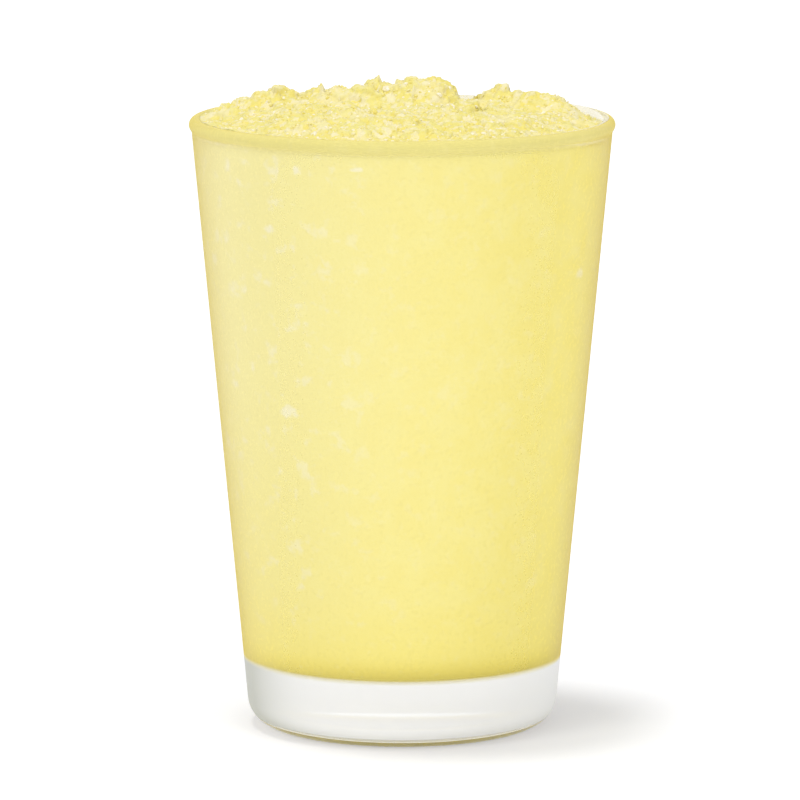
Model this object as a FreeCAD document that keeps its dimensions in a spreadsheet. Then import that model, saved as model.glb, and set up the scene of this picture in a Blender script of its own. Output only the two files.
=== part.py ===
import FreeCAD, Part
import math
import os
import random
from types import SimpleNamespace

import Sketcher

# A glass tumbler of frozen lemonade: a heavy-based conical glass with a fire-polished rim,
# filled with crushed-ice slush that is heaped above the rim.
# Frame: +Z up, origin at the middle of the foot, on the surface that the glass stands on.
# All lengths are in millimetres.

SIZES = [
    # alias, value, what it is
    ("rim_diameter", 88.0, "outside diameter over the rim bead"),
    ("glass_height", 127.0, "from the foot to the top of the rim"),
    ("base_diameter", 63.4, "diameter of the outer wall, carried straight down to the foot"),
    ("wall_at_rim", 2.0, "wall thickness just under the rim bead"),
    ("wall_at_base", 3.0, "wall thickness level with the cavity floor"),
    ("base_thickness", 14.0, "solid glass under the cavity floor"),
    ("bead_radius", 1.45, "section radius of the fire-polished rim bead"),
    ("heel_radius", 6.0, "rounding between the wall and the foot"),
    ("corner_radius", 7.0, "rounding between the cavity floor and the inner wall"),
    ("foot_ring", 5.2, "width of the flat ring that it stands on, inside the heel"),
    ("punt_depth", 1.6, "depth of the hollow under the base"),
    ("bead_gap", 0.3, "clearance between the slush and the inside of the rim bead"),
    ("edge_drop", 2.4, "how far below the rim the slush meets the wall"),
    ("edge_tilt", 1.6, "how much higher it meets the wall on the left than on the right"),
    ("heap_rise", 3.9, "from the slush at the wall to the plateau of the heap"),
    ("heap_power", 5.9, "how flat-topped the heap is: larger is flatter"),
    ("lump_radius", 5.4, "half width of an ordinary lump of slush"),
    ("lump_rise", 1.3, "how far an ordinary lump stands up"),
    ("pebble_radius", 2.5, "half width of a small lump"),
    ("pebble_rise", 0.65, "how far a small lump stands up"),
    ("surface_step", 2.2, "spacing of the points that the slush surface passes through"),
]

# The lumps that stand out on the heap and the clefts between them: place as a share of the
# inner rim radius (x to the right, y to the back), half width, and rise or depth.
BIG_LUMPS = [
    (-0.86, 0.08, 4.6, 3.3),
    (-0.71, 0.12, 4.0, 3.4),
    (-0.63, 0.20, 6.0, 3.6),
    (-0.42, 0.26, 2.8, 4.8),
    (-0.31, 0.16, 4.2, 4.1),
    (-0.16, 0.14, 3.4, 5.0),
    (-0.11, 0.20, 2.2, 6.2),
    (0.03, 0.18, 6.0, 5.9),
    (0.16, 0.16, 6.0, 6.4),
    (0.47, 0.20, 3.2, 5.0),
    (0.64, 0.12, 6.0, 4.0),
    (0.75, 0.10, 6.0, 4.0),
    (0.87, 0.08, 3.6, 3.0),
    (-0.24, -0.42, 5.2, 2.4),
    (0.22, -0.38, 5.6, 2.2),
    (-0.55, -0.40, 4.6, 2.0),
    (0.56, -0.42, 4.4, 1.9),
    (0.10, 0.60, 5.0, 1.4),
    (-0.36, 0.62, 4.8, 1.2),
    (0.46, 0.62, 4.6, 1.2),
]
CLEFTS = [
    (-0.48, 0.35, 7.0, 3.0),
    (0.34, 0.35, 6.0, 2.0),
]

# How the other lumps are spread, as shares of the half width and rise that they are given.
LUMP_SPACING = 1.55
LUMP_SHIFT = 0.45
LUMP_WIDTHS = (0.75, 1.30)
LUMP_RISES = (0.35, 1.30)

# How uneven the facets of the slush surface are, as shares of surface_step.
ROW_STAGGER = 0.25
POINT_SHIFT = 0.28

GOLDEN_ANGLE = math.pi * (3.0 - math.sqrt(5.0))
SEED = 5
MERGE_DISTANCE = 0.001

document = FreeCAD.newDocument("FrozenLemonade")


# ---------------------------------------------------------------- driving dimensions

class Length:
    """A length in millimetres that also carries the expression on the sheet it follows, so
    that a sum of driving dimensions is written once and binds whatever is made from it."""

    def __init__(self, value, expression=None):
        self.value = value
        self.expression = expression or str(value)

    def __float__(self):
        return self.value

    def joined(self, sign, other, value):
        return Length(value, f"({self.expression} {sign} {other.expression})")

    def __add__(self, other):
        return self.joined("+", other, self.value + other.value)

    def __sub__(self, other):
        return self.joined("-", other, self.value - other.value)

    def __mul__(self, other):
        other = other if isinstance(other, Length) else Length(other)
        return self.joined("*", other, self.value * other.value)

    def __truediv__(self, other):
        other = other if isinstance(other, Length) else Length(other)
        return self.joined("/", other, self.value / other.value)

    def root(self):
        return Length(math.sqrt(self.value), f"sqrt({self.expression})")


def make_sheet():
    """The spreadsheet of driving dimensions, and each of its cells as a Length."""
    sheet = document.addObject("Spreadsheet::Sheet", "Sizes")
    for row, (alias, value, note) in enumerate(SIZES, start=1):
        sheet.set(f"A{row}", alias)
        sheet.set(f"B{row}", str(value))
        sheet.set(f"C{row}", note)
        sheet.setAlias(f"B{row}", alias)
    document.recompute()
    return SimpleNamespace(**{
        alias: Length(float(getattr(sheet, alias)), f"{sheet.Name}.{alias}")
        for alias, _, _ in SIZES
    })


GROUND = Length(0.0)
given = make_sheet()

# The wall is measured level with the middle of the bead, which stands out from it equally
# inside and outside.
bead_height = given.glass_height - given.bead_radius
bead_centre = given.rim_diameter / 2 - given.bead_radius
outer_at_bead = bead_centre + given.wall_at_rim / 2
inner_at_bead = bead_centre - given.wall_at_rim / 2
outer_at_foot = given.base_diameter / 2
outer_at_floor = (
    outer_at_foot + (outer_at_bead - outer_at_foot) * given.base_thickness / bead_height
)
inner_at_floor = outer_at_floor - given.wall_at_base

# The hollow under the base reaches to the foot ring, which starts where the heel ends.
outer_slope = (outer_at_bead - outer_at_foot) / bead_height
heel_end = (
    outer_at_foot
    + given.heel_radius * outer_slope
    - given.heel_radius * (outer_slope * outer_slope + Length(1.0)).root()
)
punt_radius = heel_end - given.foot_ring

# The slush leaves the wall under the bead and goes up inside it. Before its surface is
# formed, it stands up clear of the heap.
shoulder = given.glass_height - given.bead_radius * 2 - given.bead_gap
neck = bead_centre - given.bead_radius - given.bead_gap
stock_top = given.glass_height + given.heap_rise * 4


# ---------------------------------------------------------------- sketches

class Section:
    """A sketch on a body's XZ plane: x is the distance from the axis, y the height. Edges are
    first placed near their final place, and the constraints then hold them there."""

    def __init__(self, body, name):
        self.sketch = body.newObject("Sketcher::SketchObject", name)
        plane = next(f for f in body.Origin.OriginFeatures if f.Role == "XZ_Plane")
        self.sketch.AttachmentSupport = [(plane, "")]
        self.sketch.MapMode = "FlatFace"

    def line(self, start, end):
        """A straight edge between two points."""
        segment = Part.LineSegment(flat_point(start), flat_point(end))
        return self.sketch.addGeometry(segment, False)

    def arc(self, centre, radius, from_angle, to_angle):
        """A round edge, counter-clockwise between two angles in radians."""
        ring = Part.Circle(flat_point(centre), FreeCAD.Vector(0, 0, 1), float(radius))
        return self.sketch.addGeometry(Part.ArcOfCircle(ring, from_angle, to_angle), False)

    def rule(self, kind, *where):
        """A geometric constraint."""
        self.sketch.addConstraint(Sketcher.Constraint(kind, *where))

    def bound(self, kind, length, *where):
        """A dimension whose value follows the sheet."""
        constraint = Sketcher.Constraint(kind, *where, length.value)
        index = self.sketch.addConstraint(constraint)
        self.sketch.setExpression(f"Constraints[{index}]", length.expression)

    def hold(self, edge, vertex, x, y):
        """Ties a vertex to the axis and to the foot plane."""
        self.bound("DistanceX", x, -1, 1, edge, vertex)
        self.bound("DistanceY", y, -1, 1, edge, vertex)

    def pass_through(self, edge, x, y):
        """Makes an edge, carried on if need be, pass through a bound point."""
        point = self.sketch.addGeometry(Part.Point(flat_point((x, y))), True)
        self.bound("DistanceX", x, -1, 1, point, 1)
        if y is GROUND:
            self.rule("PointOnObject", point, 1, -1)
        else:
            self.bound("DistanceY", y, -1, 1, point, 1)
        self.rule("PointOnObject", point, 1, edge)

    def chain(self, edges):
        """Joins each edge's end to the next one's start, closing the outline. Each is given
        with whether it runs backwards and whether the join before it is smooth."""
        joins = zip(edges, edges[1:] + edges[:1])
        for (edge, backwards, _), (after, after_backwards, smooth) in joins:
            end = 1 if backwards else 2
            start = 2 if after_backwards else 1
            self.rule("Tangent" if smooth else "Coincident", edge, end, after, start)


def flat_point(place):
    """A point of a sketch, from two numbers or Lengths."""
    return FreeCAD.Vector(float(place[0]), float(place[1]), 0)


def rounding(at_level, level, lean, radius):
    """Centre and upper end of a round that runs from a level line into a wall. The wall leans
    out from the vertical and meets the level line at the distance at_level from the axis."""
    x = at_level + radius * math.tan(lean) - radius / math.cos(lean)
    y = level + radius
    return (x, y), (x + radius * math.cos(lean), y - radius * math.sin(lean))


def corner_round():
    """Lean of the inner wall, with the centre and upper end of the round at its foot."""
    floor = float(given.base_thickness)
    lean = math.atan2(float(inner_at_bead - inner_at_floor), float(bead_height) - floor)
    return lean, *rounding(float(inner_at_floor), floor, lean, float(given.corner_radius))


def turn(body, kind, name, section):
    """Turns a section a full circle about the body's axis, adding or cutting."""
    feature = body.newObject(kind, name)
    feature.Profile = section.sketch
    feature.ReferenceAxis = (section.sketch, ["V_Axis"])
    feature.Angle = 360
    section.sketch.Visibility = False
    document.recompute()


# ---------------------------------------------------------------- the glass

def add_wall(body):
    """Wall, base, cavity and rim bead as one closed section, turned about the axis. The rim is
    melted round, so that it stands out a little from the wall on both sides."""
    section = Section(body, "WallSection")
    floor = given.base_thickness
    lean = math.atan2(float(outer_at_bead - outer_at_foot), float(bead_height))
    heel_centre, heel_top = rounding(float(outer_at_foot), 0.0, lean, float(given.heel_radius))
    inner_lean, corner_centre, corner_top = corner_round()
    bead_middle = (bead_centre, bead_height)
    from_level = math.acos(float(given.wall_at_rim) / 2 / float(given.bead_radius))

    under = section.line((0, 0), (heel_centre[0], 0))
    heel = section.arc(heel_centre, given.heel_radius, -math.pi / 2, -lean)
    outside = section.line(heel_top, (outer_at_bead, bead_height))
    bead = section.arc(bead_middle, given.bead_radius, -from_level, math.pi + from_level)
    inside = section.line((inner_at_bead, bead_height), corner_top)
    corner = section.arc(corner_centre, given.corner_radius, -math.pi / 2, -inner_lean)
    cavity_floor = section.line((corner_centre[0], floor), (0, floor))
    axis = section.line((0, floor), (0, 0))
    section.chain([
        (under, False, False),
        (heel, False, True),
        (outside, False, True),
        (bead, False, False),
        (inside, False, False),
        (corner, True, True),
        (cavity_floor, False, True),
        (axis, False, False),
    ])
    section.rule("Coincident", under, 1, -1, 1)
    section.rule("Vertical", axis)
    for level_edge in (under, cavity_floor):
        section.rule("Horizontal", level_edge)
    for round_edge, radius in (
        (heel, given.heel_radius),
        (bead, given.bead_radius),
        (corner, given.corner_radius),
    ):
        section.bound("Radius", radius, round_edge)
    section.bound("DistanceY", floor, -1, 1, axis, 1)
    section.hold(bead, 3, bead_centre, bead_height)
    section.pass_through(outside, outer_at_foot, GROUND)
    section.pass_through(outside, outer_at_bead, bead_height)
    section.pass_through(inside, inner_at_floor, floor)
    section.pass_through(inside, inner_at_bead, bead_height)
    turn(body, "PartDesign::Revolution", "Wall", section)


def add_punt(body):
    """The shallow domed hollow that leaves the glass standing on a ring."""
    section = Section(body, "PuntSection")
    reach = float(punt_radius)
    depth = float(given.punt_depth)
    dome_radius = (reach ** 2 + depth ** 2) / (2 * depth)
    below = dome_radius - depth

    mouth = section.line((0, 0), (reach, 0))
    roof = section.arc((0, -below), dome_radius, math.atan2(below, reach), math.pi / 2)
    middle = section.line((0, depth), (0, 0))
    section.chain([(mouth, False, False), (roof, False, False), (middle, False, False)])
    section.rule("Coincident", mouth, 1, -1, 1)
    section.rule("Horizontal", mouth)
    section.rule("Vertical", middle)
    section.rule("PointOnObject", roof, 3, -2)
    section.bound("DistanceX", punt_radius, mouth, 1, mouth, 2)
    section.bound("DistanceY", given.punt_depth, middle, 2, middle, 1)
    turn(body, "PartDesign::Groove", "Punt", section)


def make_glass():
    """The tumbler."""
    body = document.addObject("PartDesign::Body", "Glass")
    body.Label = "glass"
    add_wall(body)
    add_punt(body)
    return body


# ---------------------------------------------------------------- the frozen lemonade

def make_stock():
    """The slush before its surface is formed: it fills the cavity, face to face with the
    glass, passes inside the rim bead and stands up past the top of the heap."""
    body = document.addObject("PartDesign::Body", "LemonadeStock")
    section = Section(body, "FillSection")
    floor = given.base_thickness
    lean, corner_centre, corner_top = corner_round()
    slope = (inner_at_bead - inner_at_floor) / (bead_height - floor)
    at_shoulder = inner_at_floor + slope * (shoulder - floor)

    bottom = section.line((0, floor), (corner_centre[0], floor))
    corner = section.arc(corner_centre, given.corner_radius, -math.pi / 2, -lean)
    side = section.line(corner_top, (at_shoulder, shoulder))
    ledge = section.line((at_shoulder, shoulder), (neck, shoulder))
    neck_side = section.line((neck, shoulder), (neck, stock_top))
    cap = section.line((neck, stock_top), (0, stock_top))
    axis = section.line((0, stock_top), (0, floor))
    section.chain([
        (bottom, False, False),
        (corner, False, True),
        (side, False, True),
        (ledge, False, False),
        (neck_side, False, False),
        (cap, False, False),
        (axis, False, False),
    ])
    section.rule("PointOnObject", bottom, 1, -2)
    for level_edge in (bottom, ledge, cap):
        section.rule("Horizontal", level_edge)
    for upright_edge in (neck_side, axis):
        section.rule("Vertical", upright_edge)
    section.bound("Radius", given.corner_radius, corner)
    section.bound("DistanceY", floor, -1, 1, bottom, 1)
    section.hold(ledge, 2, neck, shoulder)
    section.bound("DistanceY", stock_top, -1, 1, cap, 2)
    section.pass_through(side, inner_at_floor, floor)
    section.pass_through(side, inner_at_bead, bead_height)
    turn(body, "PartDesign::Revolution", "Stock", section)
    return body


def spread_lumps(reach, radius, rise, chance):
    """Lumps of one kind spread evenly over a disc by the golden angle, each a little
    different in place, width and height. Their spacing follows from their width."""
    count = int(math.pi * reach ** 2 / (LUMP_SPACING * radius) ** 2)
    shift = LUMP_SHIFT * radius
    lumps = []
    for number in range(count):
        out = reach * math.sqrt((number + 0.5) / count)
        around = number * GOLDEN_ANGLE
        lumps.append((
            out * math.cos(around) + chance.uniform(-shift, shift),
            out * math.sin(around) + chance.uniform(-shift, shift),
            radius * chance.uniform(*LUMP_WIDTHS),
            rise * chance.uniform(*LUMP_RISES),
        ))
    return lumps


def highest(lumps, x, y):
    """How far the tallest lump over a point stands up: each is a rounded cap."""
    height = 0.0
    for lump_x, lump_y, radius, rise in lumps:
        share = 1.0 - ((x - lump_x) ** 2 + (y - lump_y) ** 2) / radius ** 2
        height = max(height, rise * share)
    return height


def slush_surface(chance):
    """The height of the slush over any point: a flat-topped dome with lumps on it, small
    lumps on those, and a cleft on each side of the highest part."""
    rim = float(inner_at_bead)
    lumps = [(rim * x, rim * y, radius, rise) for x, y, radius, rise in BIG_LUMPS]
    clefts = [(rim * x, rim * y, radius, depth) for x, y, radius, depth in CLEFTS]
    lumps += spread_lumps(rim, float(given.lump_radius), float(given.lump_rise), chance)
    pebbles = spread_lumps(rim, float(given.pebble_radius), float(given.pebble_rise), chance)
    edge_height = float(given.glass_height - given.edge_drop)
    tilt = float(given.edge_tilt / given.rim_diameter)
    rise = float(given.heap_rise)
    power = float(given.heap_power)

    def height(x, y):
        out = min(math.hypot(x, y) / rim, 1.0)
        dome = edge_height - tilt * x + rise * (1.0 - out ** power)
        heaped = highest(lumps, x, y) + highest(pebbles, x, y) - highest(clefts, x, y)
        return dome + heaped

    return height


def surface_rows(height, chance):
    """Rows of points on the slush surface, over a square as wide as the rim. Rows are staggered
    and inner points shifted at random, so that the facets are uneven like crushed ice."""
    half = float(given.rim_diameter) / 2
    step = float(given.surface_step)
    columns = math.ceil(2 * half / step)
    rows = math.ceil(2 * half / (step * math.sqrt(0.75)))
    lines = []
    for row in range(rows + 1):
        stagger = ROW_STAGGER if row % 2 else -ROW_STAGGER
        line = []
        for column in range(columns + 1):
            x = half * (2 * column / columns - 1)
            y = half * (2 * row / rows - 1)
            if 0 < row < rows and 0 < column < columns:
                x += step * (stagger + chance.uniform(-POINT_SHIFT, POINT_SHIFT))
                y += step * chance.uniform(-POINT_SHIFT, POINT_SHIFT)
            line.append(FreeCAD.Vector(x, y, height(x, y)))
        lines.append(line)
    return lines


def make_air():
    """Everything above the slush surface, as a faceted tool that cuts the stock: the surface,
    upright sides from its border, and a level top."""
    chance = random.Random(SEED)
    lines = surface_rows(slush_surface(chance), chance)
    width = len(lines[0])
    points = [point for line in lines for point in line]

    # Each cell is split along its shorter diagonal, which changes from row to row.
    facets = []
    for row in range(len(lines) - 1):
        for left in range(row * width, row * width + width - 1):
            right, up_left, up_right = left + 1, left + width, left + width + 1
            if row % 2:
                facets += [(left, up_left, right), (right, up_left, up_right)]
            else:
                facets += [(left, up_left, up_right), (left, up_right, right)]

    last = len(points) - 1
    border = [
        *range(0, width - 1),
        *range(width - 1, last, width),
        *range(last, last - width + 1, -1),
        *range(last - width + 1, 0, -width),
    ]
    first_top = len(points)
    top = float(stock_top)
    points += [FreeCAD.Vector(points[index].x, points[index].y, top) for index in border]
    middle = len(points)
    points.append(FreeCAD.Vector(0, 0, top))
    for number, index in enumerate(border):
        after = (number + 1) % len(border)
        over, over_next = first_top + number, first_top + after
        facets += [
            (index, border[after], over_next),
            (index, over_next, over),
            (over, over_next, middle),
        ]

    shell = Part.Shape()
    shell.makeShapeFromMesh((points, facets), MERGE_DISTANCE)
    tool = document.addObject("Part::Feature", "AirAboveSlush")
    tool.Shape = Part.makeSolid(shell)
    return tool


def make_lemonade():
    """The frozen lemonade: the stock, cut down to the heaped and lumpy slush surface."""
    cut = document.addObject("Part::Cut", "FrozenLemonade")
    cut.Label = "frozen_lemonade"
    cut.Base = make_stock()
    cut.Tool = make_air()
    return cut


# ---------------------------------------------------------------- checks and files

def check(parts):
    """Stops unless every object was made and every sub-part is a sound solid."""
    for thing in document.Objects:
        bad = {"Invalid", "Error"} & set(thing.State)
        if bad:
            raise RuntimeError(f"{thing.Name} is {', '.join(sorted(bad))}")
    for part in parts:
        shape = part.Shape
        if shape.isNull() or not shape.isValid() or not shape.Solids:
            raise RuntimeError(f"{part.Label} is not a sound solid")


def main():
    parts = [make_glass(), make_lemonade()]
    document.recompute()
    check(parts)
    os.makedirs("parts", exist_ok=True)
    for part in parts:
        part.Shape.exportStep(f"parts/{part.Label}.step")
        print(part.Label, len(part.Shape.Solids), "solid,", round(part.Shape.Volume), "mm3")


main()
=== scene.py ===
import math
import random

import bmesh
import bpy
from mathutils import Matrix, Vector, noise
from mathutils.bvhtree import BVHTree


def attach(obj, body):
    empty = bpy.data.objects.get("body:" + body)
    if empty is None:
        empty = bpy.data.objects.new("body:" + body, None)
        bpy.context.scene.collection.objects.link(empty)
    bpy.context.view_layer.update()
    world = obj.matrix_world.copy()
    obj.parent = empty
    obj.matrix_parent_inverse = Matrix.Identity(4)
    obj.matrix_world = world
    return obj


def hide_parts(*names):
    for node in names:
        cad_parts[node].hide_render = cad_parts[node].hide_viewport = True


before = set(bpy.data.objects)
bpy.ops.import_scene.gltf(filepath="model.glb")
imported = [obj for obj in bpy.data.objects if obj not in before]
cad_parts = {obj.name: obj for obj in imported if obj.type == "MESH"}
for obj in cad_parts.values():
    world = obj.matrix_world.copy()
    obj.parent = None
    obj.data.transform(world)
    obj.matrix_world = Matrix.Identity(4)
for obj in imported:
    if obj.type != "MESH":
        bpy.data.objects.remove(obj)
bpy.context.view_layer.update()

# The view. A long lens stands well back and a little above the rim, so that the glass is seen
# almost level with an open ellipse of slush at the top.
eye = Vector((-0.00044, -1.415, 0.2899))
looked_at = Vector((-0.00044, 0.0, 0.0679))
lens = bpy.data.cameras.new("long_lens")
lens.lens = 310.5
lens.sensor_width = 36.0
lens.clip_start, lens.clip_end = 0.05, 50.0
camera = bpy.data.objects.new("camera", lens)
camera.location = eye
camera.rotation_euler = (looked_at - eye).to_track_quat("-Z", "Y").to_euler()
bpy.context.collection.objects.link(camera)
bpy.context.scene.camera = camera
bpy.context.scene.view_settings.view_transform = "Standard"

# The studio floor. A plain white sheet on which the glass stands and throws its soft shadow.
# To the eye it is lifted to white by a little bluish glow, which lights nothing else.
floor_half_width = 4.0
sheet_white = (0.93, 0.93, 0.93, 1.0)
lift_blue, lift_strength = (0.70, 0.74, 1.0, 1.0), 0.21
eye_rays = ("Is Camera Ray", "Is Glossy Ray", "Is Transmission Ray")


class Wire:
    """An output socket of a material. Python's operators on it add Math nodes, and node() adds
    any other node to the same material."""

    def __init__(self, tree, socket=None):
        self.tree = tree
        self.socket = socket

    def node(self, kind, sockets=None, output=0, **settings):
        made = self.tree.nodes.new(kind)
        for name, value in settings.items():
            setattr(made, name, value)
        for name, value in (sockets or {}).items():
            if isinstance(value, Wire):
                self.tree.links.new(value.socket, made.inputs[name])
            else:
                made.inputs[name].default_value = value
        return Wire(self.tree, made.outputs[output] if made.outputs else None)

    def maths(self, operation, first, second):
        return self.node("ShaderNodeMath", {0: first, 1: second}, operation=operation)

    def __add__(self, other):
        return self.maths("ADD", self, other)

    def __radd__(self, other):
        return self.maths("ADD", other, self)

    def __sub__(self, other):
        return self.maths("SUBTRACT", self, other)

    def __rsub__(self, other):
        return self.maths("SUBTRACT", other, self)

    def __mul__(self, other):
        return self.maths("MULTIPLY", self, other)

    def __rmul__(self, other):
        return self.maths("MULTIPLY", other, self)

    def __truediv__(self, other):
        return self.maths("DIVIDE", self, other)

    def __rtruediv__(self, other):
        return self.maths("DIVIDE", other, self)

    def __pow__(self, other):
        return self.maths("POWER", self, other)

    def at_least(self, other):
        return self.maths("MAXIMUM", self, other)

    def between(self, low, high, smooth=True):
        """0 below low, 1 above high, and a soft step between them."""
        return self.node("ShaderNodeMapRange", {"Value": self, "From Min": low, "From Max": high},
                         interpolation_type="SMOOTHSTEP" if smooth else "LINEAR")

    def noise(self, size, detail, roughness):
        """Uneven cloudy pattern over a position. Its patches are about size metres across."""
        return self.node("ShaderNodeTexNoise", {
            "Vector": self, "Scale": 1.0 / size, "Detail": detail, "Roughness": roughness})

    def axes(self):
        """The three distances that make up a position: across, along and up."""
        split = self.node("ShaderNodeSeparateXYZ", {0: self}).socket.node.outputs
        return [Wire(self.tree, axis) for axis in split]

    def seen_by(self, *rays):
        """1 for the kinds of ray named, such as "Is Camera Ray", and 0 for the others."""
        kinds = self.node("ShaderNodeLightPath").socket.node.outputs
        total = Wire(self.tree, kinds[rays[0]])
        for ray in rays[1:]:
            total = total.at_least(Wire(self.tree, kinds[ray]))
        return total

    def tint(self, under, over):
        """A colour that goes from under to over as this value goes from 0 to 1."""
        return self.node("ShaderNodeMix", {0: self, 6: under, 7: over},
                         output=2, data_type="RGBA")

    def cover(self, under, over):
        """A surface that goes from under to over as this value goes from 0 to 1."""
        return self.node("ShaderNodeMixShader", {0: self, 1: under, 2: over})


def new_finish(name):
    """An empty material, and a wire to build it from."""
    material = bpy.data.materials.new(name)
    material.use_nodes = True
    material.node_tree.nodes.clear()
    return material, Wire(material.node_tree)


def wear(piece, material):
    piece.data.materials.clear()
    piece.data.materials.append(material)


def put_in_place(shape, name, smooth=True):
    """Turns a finished bmesh into a piece of the scene."""
    mesh = bpy.data.meshes.new(name)
    shape.to_mesh(mesh)
    shape.free()
    if smooth:
        mesh.shade_smooth()
    piece = bpy.data.objects.new(name, mesh)
    bpy.context.collection.objects.link(piece)
    return piece


floor_shape = bmesh.new()
bmesh.ops.create_grid(floor_shape, x_segments=8, y_segments=8, size=floor_half_width)
studio_floor = put_in_place(floor_shape, "studio_floor")
floor_paint, paint = new_finish("white_sheet")
matt = paint.node("ShaderNodeBsdfDiffuse", {"Color": sheet_white})
lift = paint.node("ShaderNodeEmission", {"Color": lift_blue, "Strength": lift_strength})
lifted = paint.node("ShaderNodeAddShader", {0: matt, 1: lift})
paint.node("ShaderNodeOutputMaterial", {
    "Surface": paint.seen_by(*eye_rays).cover(matt, lifted)})
wear(studio_floor, floor_paint)

# The light. One soft key high above and a little to the left, a broad fill from each front
# corner, and a pale even surround, which the glass also shows as its background.
surround_light, surround_seen = 0.49, 1.0
white = (1.0, 1.0, 1.0, 1.0)
surround = bpy.data.worlds.new("pale_surround")
surround.use_nodes = True
surround.node_tree.nodes.clear()
bpy.context.scene.world = surround
air = Wire(surround.node_tree)
lighting = air.node("ShaderNodeBackground", {"Color": white, "Strength": surround_light})
backdrop = air.node("ShaderNodeBackground", {"Color": white, "Strength": surround_seen})
air.node("ShaderNodeOutputWorld", {"Surface": air.seen_by(*eye_rays).cover(lighting, backdrop)})


def hang_softbox(name, azimuth, elevation, spread, strength):
    """A broad far-off lamp that leaves no glint on the glass. Azimuth 0 is the camera's side and
    grows to the left of it."""
    lamp = bpy.data.lights.new(name, "SUN")
    lamp.angle = math.radians(spread)
    lamp.energy = strength
    holder = bpy.data.objects.new(name, lamp)
    turn, rise = math.radians(azimuth), math.radians(elevation)
    towards = Vector((-math.sin(turn) * math.cos(rise), -math.cos(turn) * math.cos(rise),
                      math.sin(rise)))
    holder.location = towards
    holder.rotation_euler = towards.to_track_quat("Z", "Y").to_euler()
    holder.visible_glossy = holder.visible_transmission = False
    bpy.context.collection.objects.link(holder)


hang_softbox("key_softbox", azimuth=98, elevation=83, spread=12, strength=1.06)
hang_softbox("left_fill", azimuth=45, elevation=27, spread=28, strength=0.83)
hang_softbox("right_fill", azimuth=-47, elevation=27, spread=28, strength=0.85)

# The glass. A plain conical tumbler, pressed from clear soda-lime glass with a thick base, a
# melted round rim and a shallow hollow under its foot. Cold has misted it outside.
rim_bead_radius = 0.00145
rim_bead_centre = Vector((0.04255, 0.0, 0.12555))
outer_foot_radius, outer_bead_radius = 0.0317, 0.04355
inner_floor_radius, inner_bead_radius = 0.03002, 0.04155
cavity_floor_height = 0.014
cavity_corner_radius = 0.007
heel_rounding = 0.006
foot_ring_radius, foot_hollow_depth = 0.02104, 0.0016
turns = 256
hollow_steps, round_steps, bead_steps, wall_rows = 8, 10, 24, 16


def outer_wall(height):
    share = height / rim_bead_centre.z
    return outer_foot_radius + (outer_bead_radius - outer_foot_radius) * share


def inner_wall(height):
    share = (height - cavity_floor_height) / (rim_bead_centre.z - cavity_floor_height)
    return inner_floor_radius + (inner_bead_radius - inner_floor_radius) * share


def run_line(section, last, radius, height, pieces=1):
    """Carries the glass's section on, straight, from its last corner."""
    start = last.co.copy()
    end = Vector((radius, 0.0, height))
    for number in range(pieces):
        last = bmesh.ops.extrude_vert_indiv(section, verts=[last])["verts"][0]
        last.co = start.lerp(end, (number + 1) / pieces)
    return last


def run_arc(section, last, centre, degrees, steps):
    """Carries the glass's section on, round a centre, from its last corner."""
    swept = bmesh.ops.spin(section, geom=[last], cent=centre, axis=(0, 1, 0),
                           angle=math.radians(degrees), steps=steps)
    return [v for v in swept["geom_last"] if isinstance(v, bmesh.types.BMVert)][0]


def bead_meets(wall_radius, lean):
    """Where a face of the wall runs into the round of the rim bead."""
    aside = wall_radius - rim_bead_centre.x
    along = aside * math.sin(lean) + math.sqrt(
        rim_bead_radius ** 2 - (aside * math.cos(lean)) ** 2)
    return Vector((wall_radius - along * math.sin(lean), 0.0,
                   rim_bead_centre.z - along * math.cos(lean)))


def angle_on_bead(point):
    return math.atan2(point.z - rim_bead_centre.z, point.x - rim_bead_centre.x)


outer_lean = math.atan2(outer_bead_radius - outer_foot_radius, rim_bead_centre.z)
inner_lean = math.atan2(inner_bead_radius - inner_floor_radius,
                        rim_bead_centre.z - cavity_floor_height)
heel_centre = Vector((
    outer_wall(heel_rounding) - heel_rounding / math.cos(outer_lean), 0.0, heel_rounding))
corner_height = cavity_floor_height + cavity_corner_radius
corner_centre = Vector((
    inner_wall(corner_height) - cavity_corner_radius / math.cos(inner_lean), 0.0, corner_height))
corner_top = corner_centre + cavity_corner_radius * Vector((
    math.cos(-inner_lean), 0.0, math.sin(-inner_lean)))
hollow_radius = (foot_ring_radius ** 2 + foot_hollow_depth ** 2) / (2 * foot_hollow_depth)
hollow_centre = Vector((0.0, 0.0, foot_hollow_depth - hollow_radius))
hollow_angle = math.degrees(math.asin(foot_ring_radius / hollow_radius))
bead_from = bead_meets(outer_bead_radius, outer_lean)
bead_to = bead_meets(inner_bead_radius, inner_lean)
bead_turn = math.degrees(angle_on_bead(bead_from) - (angle_on_bead(bead_to) + math.tau))

section = bmesh.new()
last = section.verts.new((0.0, 0.0, foot_hollow_depth))
last = run_arc(section, last, hollow_centre, hollow_angle, hollow_steps)
last = run_line(section, last, heel_centre.x, 0.0, pieces=2)
last = run_arc(section, last, heel_centre, math.degrees(outer_lean) - 90, round_steps)
last = run_line(section, last, bead_from.x, bead_from.z, wall_rows)
last = run_arc(section, last, rim_bead_centre, bead_turn, bead_steps)
last = run_line(section, last, corner_top.x, corner_top.z, wall_rows)
last = run_arc(section, last, corner_centre, 90 - math.degrees(inner_lean), round_steps)
last = run_line(section, last, 0.0, cavity_floor_height, pieces=4)
bmesh.ops.spin(section, geom=section.verts[:] + section.edges[:], cent=(0, 0, 0),
               axis=(0, 0, 1), angle=math.tau, steps=turns, use_merge=True)
bmesh.ops.remove_doubles(section, verts=section.verts, dist=1e-6)
bmesh.ops.recalc_face_normals(section, faces=section.faces)
tumbler = put_in_place(section, "misted_tumbler")

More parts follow.
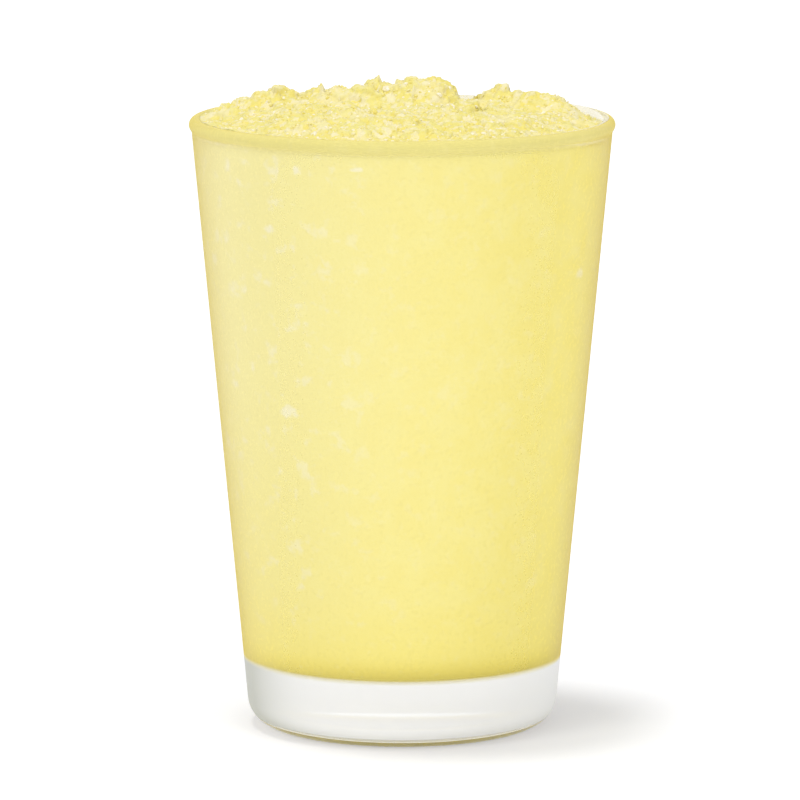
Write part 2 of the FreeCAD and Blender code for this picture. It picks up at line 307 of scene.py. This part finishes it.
# Its finish: clear glass under a layer of mist. The mist is milky on the base and, where slush
# stands behind it, painted yellow as the slush's light shining through it. It shows only
# outside and on the left of the rim.
glass_index = 1.5
clear_colour = (0.985, 0.99, 0.985, 1.0)
painted_light_mist_left, painted_shade_mist_right = (0.95, 0.845, 0.38, 1.0), (0.94, 0.775, 0.10, 1.0)
painted_shade_mist_low, painted_light_mist_rim = (0.86, 0.705, 0.07, 1.0), (0.85, 0.735, 0.23, 1.0)
base_milk, base_smoke_painted_shade = (0.975, 0.98, 1.0, 1.0), (0.60, 0.61, 0.57, 1.0)
edge_amber_painted_shade = (0.68, 0.53, 0.06, 1.0)
wall_passes, base_passes = (0.95, 0.95, 0.95, 1.0), (0.62, 0.62, 0.63, 1.0)
mid_wall_radius, mid_wall_slope = 0.0306, 0.0945
base_ends, foot_ends, low_ends = (0.0138, 0.0154), (0.001, 0.010), (0.018, 0.085)
rim_begins = (0.1235, 0.1250)
left_to_right = (-0.036, 0.036)
base_mist, foot_mist = 0.74, 0.16
wall_mist, left_highlight_mist, droplet_mist, rim_mist = 0.25, 0.03, 0.04, 0.15
droplet_size = 0.0011

glass_finish, cold = new_finish("misted_glass")
place = cold.node("ShaderNodeTexCoord", output=3)
across, along, up = place.axes()
out = (across * across + along * along) ** 0.5
outside = (out - up * mid_wall_slope - mid_wall_radius).between(0.0, 0.0002)
in_base = 1.0 - up.between(*base_ends)
rim = up.between(*rim_begins)
# Painted highlight: the left of the wall gets a little more mist, for a pale band there.
left = 1.0 - across.between(-0.040, -0.018)
sideways = across.between(*left_to_right, smooth=False)
turned_away = cold.node("ShaderNodeLayerWeight", {"Blend": 0.5}, output=1)


def mist_of(colour):
    return cold.node("ShaderNodeBsdfPrincipled", {
        "Base Color": colour, "Roughness": 0.6, "IOR": glass_index, "Specular IOR Level": 0.1})


# Painted shade: low on the wall, and more so on the right, the mist's yellow turns deeper.
near_foot = 1.0 - up.between(*low_ends)
# Painted light: the mist's yellow is paler on the left as a painted highlight, deeper on the
# right as painted shade, and has a tint of its own on the rim.
glow = sideways.tint(painted_light_mist_left, painted_shade_mist_right)
glow = (near_foot * (0.6 + sideways * 0.3)).tint(glow, painted_shade_mist_low)
glow = rim.tint(glow, painted_light_mist_rim)
# The base greys towards its slanted edges, more on the left: partly the longer path through thick
# glass, partly painted shade.
smoke_and_shade = in_base * turned_away.between(0.12, 0.80) * (1.1 - sideways * 0.95)
# The slanted edges of the wall deepen to amber: partly the longer look through the mist, partly
# painted shade, which is stronger on the right.
edge = (1.0 - in_base) * turned_away.between(0.45, 0.90) * (0.76 + sideways * 0.24)
milky = smoke_and_shade.cover(mist_of(in_base.tint(glow, base_milk)), mist_of(base_smoke_painted_shade))
milky = (edge * (1.0 - rim * 0.45)).cover(milky, mist_of(edge_amber_painted_shade))

# Mist hides more where it is looked through at a slant.
at_foot = 1.0 - up.between(*foot_ends)
droplets = place.noise(droplet_size, 3.0, 0.6).between(0.50, 0.66)
thin = in_base * (base_mist + at_foot * foot_mist) + (1.0 - in_base) * (
    wall_mist + left * left_highlight_mist + droplets * droplet_mist + rim * rim_mist)
wetted = rim * (1.0 - across.between(-0.015, 0.025)) * 0.9
facing = 1.0 - turned_away
hidden = 1.0 - (1.0 - thin) ** (1.0 / (facing + 0.04))
clear = cold.node("ShaderNodeBsdfPrincipled", {
    "Base Color": clear_colour, "Roughness": 0.04, "IOR": glass_index,
    "Transmission Weight": 1.0})
looked_on = (outside.at_least(wetted) * hidden).cover(clear, milky)

# Light passes through, so that the slush is lit and the shadow is soft, but the base dims it.
wall_shade = cold.node("ShaderNodeBsdfTransparent", {"Color": wall_passes})
base_shade = cold.node("ShaderNodeBsdfTransparent", {"Color": base_passes})
thick = in_base * (0.5 + 0.5 * cold.seen_by("Is Shadow Ray"))
passing = cold.seen_by("Is Shadow Ray", "Is Diffuse Ray")
cold.node("ShaderNodeOutputMaterial", {
    "Surface": passing.cover(looked_on, thick.cover(wall_shade, base_shade))})
wear(tumbler, glass_finish)
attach(tumbler, "root")
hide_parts("glass")

# The frozen lemonade. Finely crushed ice in lemonade, packed in the cavity and pressed against
# the wall, with an uneven heap of soft lumps that rises just past the rim.
heap_cells = 278
scanned_reach, heap_reach = 0.0405, 0.0410
blur = 0.0008
wall_bite = 0.00007
heap_scan = BVHTree.FromObject(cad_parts["frozen_lemonade"],
                               bpy.context.evaluated_depsgraph_get())


def wall_at(height):
    """Radius of the glass's inner face at a height, the rim bead included."""
    off = height - rim_bead_centre.z
    radius = inner_wall(height)
    if abs(off) < rim_bead_radius:
        radius = min(radius, rim_bead_centre.x - math.sqrt(rim_bead_radius ** 2 - off ** 2))
    return radius


def ease(value, start, span):
    """0 up to start, 1 from a span beyond it, and even between."""
    return min(1.0, max(0.0, (value - start) / span))


def solid_top(x, y):
    """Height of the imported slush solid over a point, a little blurred."""
    heights = []
    for dx, dy in [(0, 0), (blur, 0), (-blur, 0), (0, blur), (0, -blur)]:
        spot = Vector((x + dx, y + dy, 0.0))
        if spot.length > scanned_reach:
            spot *= scanned_reach / spot.length
        spot.z = 0.2
        heights.append(heap_scan.ray_cast(spot, Vector((0, 0, -1)))[0].z)
    return sum(heights) / len(heights)


def chunk(point, size, seed):
    """Crushed-ice relief of about -1 to 1: every cell is a tilted flat chip of its own height.
    Also says how white the chip is, from 0 to 1."""
    spot = point / size + Vector((seed, 2 * seed, 0.5 * seed))
    distances, centres = noise.voronoi(spot, distance_metric="DISTANCE")
    centre = centres[0]
    lift = noise.cell(centre * 7.3 + Vector((seed, 0, 0)))
    lean = noise.cell_vector(centre * 5.1) - Vector((0.5, 0.5, 0.5))
    slope = (spot - centre).dot(lean)
    cleft = min(1.0, (distances[1] - distances[0]) * 4.0)
    white = ease(noise.cell(centre * 3.9 + Vector((0, seed, 0))), 0.45, 0.35)
    return lift * 0.45 + slope * 1.6 - (1.0 - cleft) * 0.45, white


def crushed_ice(point):
    """How far the broken ice stands out at a point, in metres, how white it is there, and how
    much lemonade has gathered between its chips, a tone that is partly painted shade in the
    hollows."""
    large, large_white = chunk(point, size=0.0036, seed=1.7)
    middle, middle_white = chunk(point, size=0.0017, seed=4.9)
    small, small_white = chunk(point, size=0.0009, seed=8.3)
    swell = noise.noise(point / 0.0030)
    stand_out = swell * 0.00035 + large * 0.00032 + middle * 0.00032 + small * 0.00018
    white = max(0.55 * large_white, middle_white, 0.8 * small_white)
    hollow = ease(-0.4 * large - 0.6 * middle - 0.3 * small, -0.25, 1.0)
    return stand_out, white, hollow


# across, along, radius, height of its top, how steep its sides are
heap_lumps = [
    (-0.0320, 0.0060, 0.0030, 0.1306, 0.8), (-0.0283, 0.0075, 0.0026, 0.1315, 0.8),
    (-0.0248, 0.0083, 0.0027, 0.1330, 1.0), (-0.0222, 0.0078, 0.0014, 0.1320, 0.9),
    (-0.0172, 0.0100, 0.0020, 0.1321, 1.2), (-0.0163, 0.0096, 0.0012, 0.1331, 1.0),
    (-0.0128, 0.0080, 0.0027, 0.1325, 0.8), (-0.0088, 0.0078, 0.0026, 0.1328, 0.8),
    (-0.0052, 0.0083, 0.0024, 0.1338, 1.0), (-0.0046, 0.0083, 0.0010, 0.1349, 1.7),
    (0.0018, 0.0075, 0.0036, 0.1344, 0.9), (0.0058, 0.0078, 0.0036, 0.1347, 0.9),
    (0.0085, 0.0070, 0.0023, 0.1337, 1.1), (0.0185, 0.0085, 0.0030, 0.1318, 0.7),
    (0.0202, 0.0083, 0.0017, 0.1331, 1.2), (0.0234, 0.0076, 0.0017, 0.1318, 0.9),
    (0.0262, 0.0070, 0.0028, 0.1316, 0.7), (0.0308, 0.0055, 0.0026, 0.1307, 0.7),
    (0.0120, -0.0060, 0.0034, 0.1310, 0.5), (-0.0060, -0.0100, 0.0030, 0.1300, 0.5),
    (-0.0200, -0.0040, 0.0030, 0.1302, 0.5), (0.0230, -0.0120, 0.0030, 0.1292, 0.5),
    (-0.0290, 0.0125, 0.0048, 0.1297, 0.9), (-0.0236, 0.0140, 0.0054, 0.1307, 0.9),
    (-0.0155, 0.0145, 0.0058, 0.1306, 0.9), (-0.0085, 0.0130, 0.0054, 0.1312, 0.9),
    (-0.0010, 0.0150, 0.0062, 0.1318, 0.9), (0.0055, 0.0130, 0.0046, 0.1321, 0.9),
    (0.0228, 0.0130, 0.0050, 0.1308, 0.9), (0.0290, 0.0105, 0.0044, 0.1300, 0.9),
    (-0.0180, 0.0240, 0.0062, 0.1292, 0.9), (0.0030, 0.0230, 0.0066, 0.1299, 0.9),
    (0.0235, 0.0215, 0.0054, 0.1288, 0.9), (-0.0070, 0.0290, 0.0052, 0.1282, 0.9),
    (0.0160, 0.0052, 0.0036, 0.1301, 0.6), (0.0130, 0.0035, 0.0030, 0.1298, 0.5),
]
left_slump_from, left_slump = 0.0235, 0.0012
dip_across, dip_half_width, dip_depth = 0.0134, 0.0040, 0.0010
right_slump_from, right_slump = 0.0315, 0.0008
lump_raggedness, rear_raggedness = (0.40, 0.30), (0.25, 0.10)
brim_height, brim_most = 0.1269, 0.12695


def lump_height(x, y, lump_x, lump_y, radius, top, steep):
    """Height of one lump over a point: a ragged dome with a longer slope behind it. None where
    the lump doesn't reach."""
    aside, past = abs(x - lump_x), y - lump_y
    away = math.hypot(aside, past) / radius
    if away >= 1.8:
        return None
    rear = ease(past - 0.6 * aside, 0.0, 0.5 * radius)
    shift = Vector((lump_x, lump_y, 0.0)) * 300
    spot = Vector((x, y, 0.0))
    coarse, fine = [front + (back - front) * rear
                    for front, back in zip(lump_raggedness, rear_raggedness)]
    away *= (1.0 + coarse * noise.noise(spot / 0.0022 + shift)
             + fine * noise.noise(spot / 0.0009 + shift))
    if away >= 1.0 and rear == 0.0:
        return None
    rounded = 1.0 - math.sqrt(1.0 - away ** 2) if away < 1.0 else 8.0 * away - 7.0
    return top - radius * steep * (rounded + (away ** 2 - rounded) * rear)


def heap_height(x, y):
    """Height of the heap over a point, before its broken ice is given its relief."""
    far = math.hypot(x, y)
    height = solid_top(x, y)
    off_wall = 1.0 - ease(far, 0.0378, 0.0028)
    behind = ease(y, -0.002, 0.004)
    height -= left_slump * ease(-x, left_slump_from, 0.004) * off_wall
    height -= dip_depth * behind * ease(-abs(x - dip_across), -dip_half_width, 0.0026)
    height -= right_slump * behind * ease(x, right_slump_from, 0.003) * off_wall
    for lump in heap_lumps:
        risen = lump_height(x, y, *lump)
        if risen is not None:
            height = max(height, risen)
    if far > 0.034:
        # In front and on the left it is pressed up to the brim.
        near = ease((-0.75 * y - 0.35 * x) / far, -0.35, 0.5)
        brim = min(brim_most,
                   brim_height + 0.0003 * noise.noise(Vector((x, y, 0.0)) / 0.004))
        height += max(0.0, brim - height) * near * ease(far, 0.0355, 0.0045) ** 2
    return height


# The heap's surface: a square grid drawn round, laid over the lumps, and then roughened.
heap = bmesh.new()
whiteness = heap.verts.layers.float.new("whiteness")
syrup_and_shade = heap.verts.layers.float.new("syrup_and_shade")
bmesh.ops.create_grid(heap, x_segments=heap_cells, y_segments=heap_cells, size=1.0)
for vert in heap.verts:
    u, v = vert.co.x, vert.co.y
    if abs(u) > abs(v):
        out, around = u, math.pi / 4 * v / u
    elif v:
        out, around = v, math.pi / 2 - math.pi / 4 * u / v
    else:
        out, around = 0.0, 0.0
    x, y = out * math.cos(around), out * math.sin(around)
    z = heap_height(x * heap_reach, y * heap_reach)
    reach = wall_at(z) + wall_bite
    vert.co = (x * reach, y * reach, z)
heap.normal_update()
faced = {vert: vert.normal * (1 if vert.normal.z > 0.0 else -1) for vert in heap.verts}
for vert, way in faced.items():
    stand_out, vert[whiteness], vert[syrup_and_shade] = crushed_ice(vert.co)
    far = math.hypot(vert.co.x, vert.co.y)
    if vert.is_boundary:
        vert.co.z += stand_out * 0.3
        grown = (wall_at(vert.co.z) + wall_bite) / far
        vert.co.x, vert.co.y = vert.co.x * grown, vert.co.y * grown
    else:
        vert.co += way * stand_out * (1.0 - 0.7 * ease(far, 0.0375, 0.0030))

# Its sides and underside: the heap's edge carried down the wall ring by ring, round the corner
# of the cavity, and closed on the floor. The first rings level out the uneven edge.
level_ring_height = 0.1200
levelling = (0.15, 0.5, 1.0)
wall_rings = (0.100, 0.075, 0.050, 0.030)
corner_rings = 6
bite_radius = cavity_corner_radius + wall_bite
stations = [(None, part) for part in levelling]
stations += [(wall_at(z) + wall_bite, z) for z in wall_rings]
for step in range(corner_rings + 1):
    angle = -inner_lean - (math.pi / 2 - inner_lean) * step / corner_rings
    stations.append((corner_centre.x + bite_radius * math.cos(angle),
                     corner_centre.z + bite_radius * math.sin(angle)))
ring = [e for e in heap.edges if e.is_boundary]
began_at = {v: v.co.z for e in ring for v in e.verts}
for radius, z in stations:
    before = {v for e in ring for v in e.verts}
    grown = bmesh.ops.extrude_edge_only(heap, edges=ring)["geom"]
    ring = [g for g in grown if isinstance(g, bmesh.types.BMEdge) and g.is_boundary]
    began_next = {}
    for vert in {v for e in ring for v in e.verts}:
        over = next(e.other_vert(vert) for e in vert.link_edges if e.other_vert(vert) in before)
        began_next[vert] = began_at[over]
        height, goal = z, radius
        if radius is None:
            height = began_at[over] + (level_ring_height - began_at[over]) * z
            goal = wall_at(height) + wall_bite
        out = math.hypot(vert.co.x, vert.co.y)
        vert.co = (vert.co.x * goal / out, vert.co.y * goal / out, height)
        vert[whiteness] = vert[syrup_and_shade] = 0.0
    began_at = began_next
grown = bmesh.ops.extrude_edge_only(heap, edges=ring)["geom"]
centre_verts = [g for g in grown if isinstance(g, bmesh.types.BMVert)]
bmesh.ops.pointmerge(heap, verts=centre_verts,
                     merge_co=Vector((0, 0, corner_centre.z - bite_radius)))
bmesh.ops.recalc_face_normals(heap, faces=heap.faces)
slush = put_in_place(heap, "frozen_lemonade_slush")

# Its finish: pale lemon, with a painted highlight on the left and painted shade on the right,
# frosty crystals against the wall, some of them painted highlight, a deeper yellow towards the
# foot that is painted shade, white ice, and yellow hollows in the heap that are partly lemonade
# and partly painted shade.
ice_index = 1.31
painted_highlight_slush_left, painted_shade_slush_right = (0.945, 0.86, 0.38, 1.0), (0.94, 0.825, 0.25, 1.0)
mottled_slush, painted_shade_slush_low = (0.945, 0.87, 0.37, 1.0), (0.94, 0.82, 0.24, 1.0)
painted_shade_slush_foot, heap_slush = (0.99, 0.83, 0.18, 1.0), (0.79, 0.715, 0.25, 1.0)
frost_white, fleck_yellow = (0.96, 0.925, 0.74, 1.0), (0.965, 0.90, 0.50, 1.0)
hollow_yellow_and_shade, chip_white = (0.84, 0.72, 0.19, 1.0), (0.875, 0.81, 0.60, 1.0)
# across and height of the larger crystals against the front of the wall, and their half sizes
wall_crystals = [
    (-0.0345, 0.1203, 0.0014, 0.0014), (-0.0369, 0.0995, 0.0018, 0.0012),
    (-0.0262, 0.1078, 0.0012, 0.0010), (-0.0208, 0.1205, 0.0009, 0.0012),
    (-0.0340, 0.0610, 0.0020, 0.0014), (-0.0328, 0.0740, 0.0015, 0.0011),
    (-0.0226, 0.0700, 0.0025, 0.0013), (0.0350, 0.0970, 0.0015, 0.0013),
    # The last one is no crystal but a painted highlight: a whitish streak just below the rim.
    (-0.0091, 0.1212, 0.0013, 0.0005),
]

slush_finish, ice = new_finish("lemonade_slush")
place = ice.node("ShaderNodeTexCoord", output=3)
across, along, up = place.axes()
sideways = across.between(*left_to_right, smooth=False)
highlight_side_left = 1.0 - across.between(-0.034, 0.004)
mottle = place.noise(0.006, 3.0, 0.6).between(0.38, 0.64)
# The frost pattern is real, but crowding it to the left is painted highlight, a pale band on that
# side.
frost = place.noise(0.0034, 3.0, 0.6).between(0.54, 0.70) * (0.25 + 0.75 * highlight_side_left)
ragged = place.noise(0.0016, 2.0, 0.6) * 2.4 - 1.2
for crystal_across, crystal_up, wide, tall in wall_crystals:
    crystal_along = -math.sqrt(inner_wall(crystal_up) ** 2 - crystal_across ** 2)
    aside, ahead = (across - crystal_across) / wide, (along - crystal_along) / wide
    above = (up - crystal_up) / tall
    gap = (aside * aside + ahead * ahead + above * above) ** 0.5 + ragged
    frost = frost.at_least(1.25 * (1.0 - gap.between(0.3, 1.3)))
fleck = place.noise(0.0020, 2.0, 0.5).between(0.60, 0.74)
low_painted_shade = 1.0 - up.between(0.0135, 0.034)
at_foot = 1.0 - up.between(0.0150, 0.0200)
on_heap = up.between(0.1225, 0.1250)
chips = ice.node("ShaderNodeAttribute", output=2, attribute_name="whiteness")
hollows_and_shade = ice.node("ShaderNodeAttribute", output=2, attribute_name="syrup_and_shade")
# Painted highlight and shade: the slush goes from paler yellow on the left to deeper yellow on
# the right.
body = sideways.tint(painted_highlight_slush_left, painted_shade_slush_right)
body = (mottle * 0.55).tint(body, mottled_slush)
body = (frost * 0.7).tint(body, frost_white)
body = (on_heap * 0.8).tint(body, heap_slush)
# Painted shade: the slush turns deeper yellow towards the bottom of the cavity, deepest just
# above the foot.
body = low_painted_shade.tint(body, painted_shade_slush_low)
body = at_foot.tint(body, painted_shade_slush_foot)
body = (fleck * 0.25).tint(body, fleck_yellow)
# The hollows between chips turn golden: partly lemonade gathered there, partly painted shade.
body = (hollows_and_shade * 0.9).tint(body, hollow_yellow_and_shade)
body = (chips * 0.65).tint(body, chip_white)
grain = place.noise(0.0006, 3.0, 0.6) * up.between(0.1215, 0.1235)
relief = ice.node("ShaderNodeBump", {"Strength": 0.35, "Distance": 0.0003, "Height": grain})
wet = ice.node("ShaderNodeBsdfPrincipled", {
    "Base Color": body, "Roughness": 0.5, "IOR": ice_index, "Specular IOR Level": 0.1,
    "Normal": relief})
ice.node("ShaderNodeOutputMaterial", {"Surface": wet})
wear(slush, slush_finish)
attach(slush, "root")
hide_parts("frozen_lemonade")

# Loose grains of ice on the heap. Broken bits of ice from half a millimetre to two, half sunk
# in the slush, and some of them whiter than it because little lemonade clings to them.
grain_count, grains_a_batch = 4300, 80
grain_reach = 0.0412
smallest_grain, largest_grain, small_ones_lead = 0.0004, 0.0013, 2.2
sunk_share, flatness, grain_raggedness = 0.17, 0.7, 0.25
crystal_whiteness = 1.3
grain_yellow, grain_pale_yellow = (0.84, 0.73, 0.22, 1.0), (0.85, 0.76, 0.31, 1.0)
grain_white = (0.92, 0.87, 0.72, 1.0)
# across, along and size of the few crystals that stand out
large_crystals = [
    (-0.0033, 0.0068, 0.0020), (-0.0030, 0.0062, 0.0014), (0.0098, 0.0045, 0.0013),
    (0.0129, 0.0030, 0.0014), (0.0290, -0.0040, 0.0015), (-0.0330, -0.0080, 0.0014),
    (-0.0145, -0.0030, 0.0015), (0.0170, -0.0150, 0.0014), (-0.0250, 0.0015, 0.0013),
]
scatter = random.Random(21)
surface_scan = BVHTree.FromObject(slush, bpy.context.evaluated_depsgraph_get())


def lay_grain(shape, pale, x, y, size, whiteness):
    """Adds one broken chip of ice, sunk in the slush under a point."""
    rests_on = surface_scan.ray_cast(Vector((x, y, 0.2)), Vector((0, 0, -1)))[0]
    centre = rests_on - Vector((0, 0, sunk_share * size))
    turned = Matrix.Rotation(scatter.uniform(0, math.tau), 4, "Z") @ Matrix.Rotation(
        scatter.uniform(0, math.pi), 4, Vector((scatter.random(), scatter.random(), 0.3)))
    stretched = Matrix.Diagonal((
        scatter.uniform(0.7, 1.3), scatter.uniform(0.7, 1.2), flatness, 1.0))
    made = bmesh.ops.create_icosphere(
        shape, subdivisions=1, radius=size / 2,
        matrix=Matrix.Translation(centre) @ turned @ stretched)
    for vert in made["verts"]:
        vert.co += (vert.co - centre) * scatter.uniform(-grain_raggedness, grain_raggedness)
        vert[pale] = whiteness


grain_spots = [(x, y, size, crystal_whiteness) for x, y, size in large_crystals]
while len(grain_spots) < grain_count:
    out, around = grain_reach * math.sqrt(scatter.random()), scatter.uniform(0, math.tau)
    share = scatter.random() ** small_ones_lead
    grain_spots.append((
        out * math.cos(around), out * math.sin(around),
        smallest_grain + (largest_grain - smallest_grain) * share,
        max(0.0, scatter.uniform(-1.0, 1.0))))
loose = bmesh.new()
for first in range(0, grain_count, grains_a_batch):
    shape = bmesh.new()
    pale = shape.verts.layers.float.new("pale")
    for spot in grain_spots[first:first + grains_a_batch]:
        lay_grain(shape, pale, *spot)
    batch = bpy.data.meshes.new("batch")
    shape.to_mesh(batch)
    shape.free()
    loose.from_mesh(batch)
    bpy.data.meshes.remove(batch)
grains = put_in_place(loose, "loose_ice_grains", smooth=False)

grain_finish, bits = new_finish("ice_grains")
place = bits.node("ShaderNodeTexCoord", output=3)
paler = bits.node("ShaderNodeAttribute", output=2, attribute_name="pale")
tone = place.noise(0.0021, 1.0, 0.5).between(0.36, 0.64)
colour = paler.tint(tone.tint(grain_yellow, grain_pale_yellow), grain_white)
glint = bits.node("ShaderNodeBsdfPrincipled", {
    "Base Color": colour, "Roughness": 0.45, "IOR": ice_index, "Specular IOR Level": 0.15})
bits.node("ShaderNodeOutputMaterial", {"Surface": glint})
wear(grains, grain_finish)
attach(grains, "root")
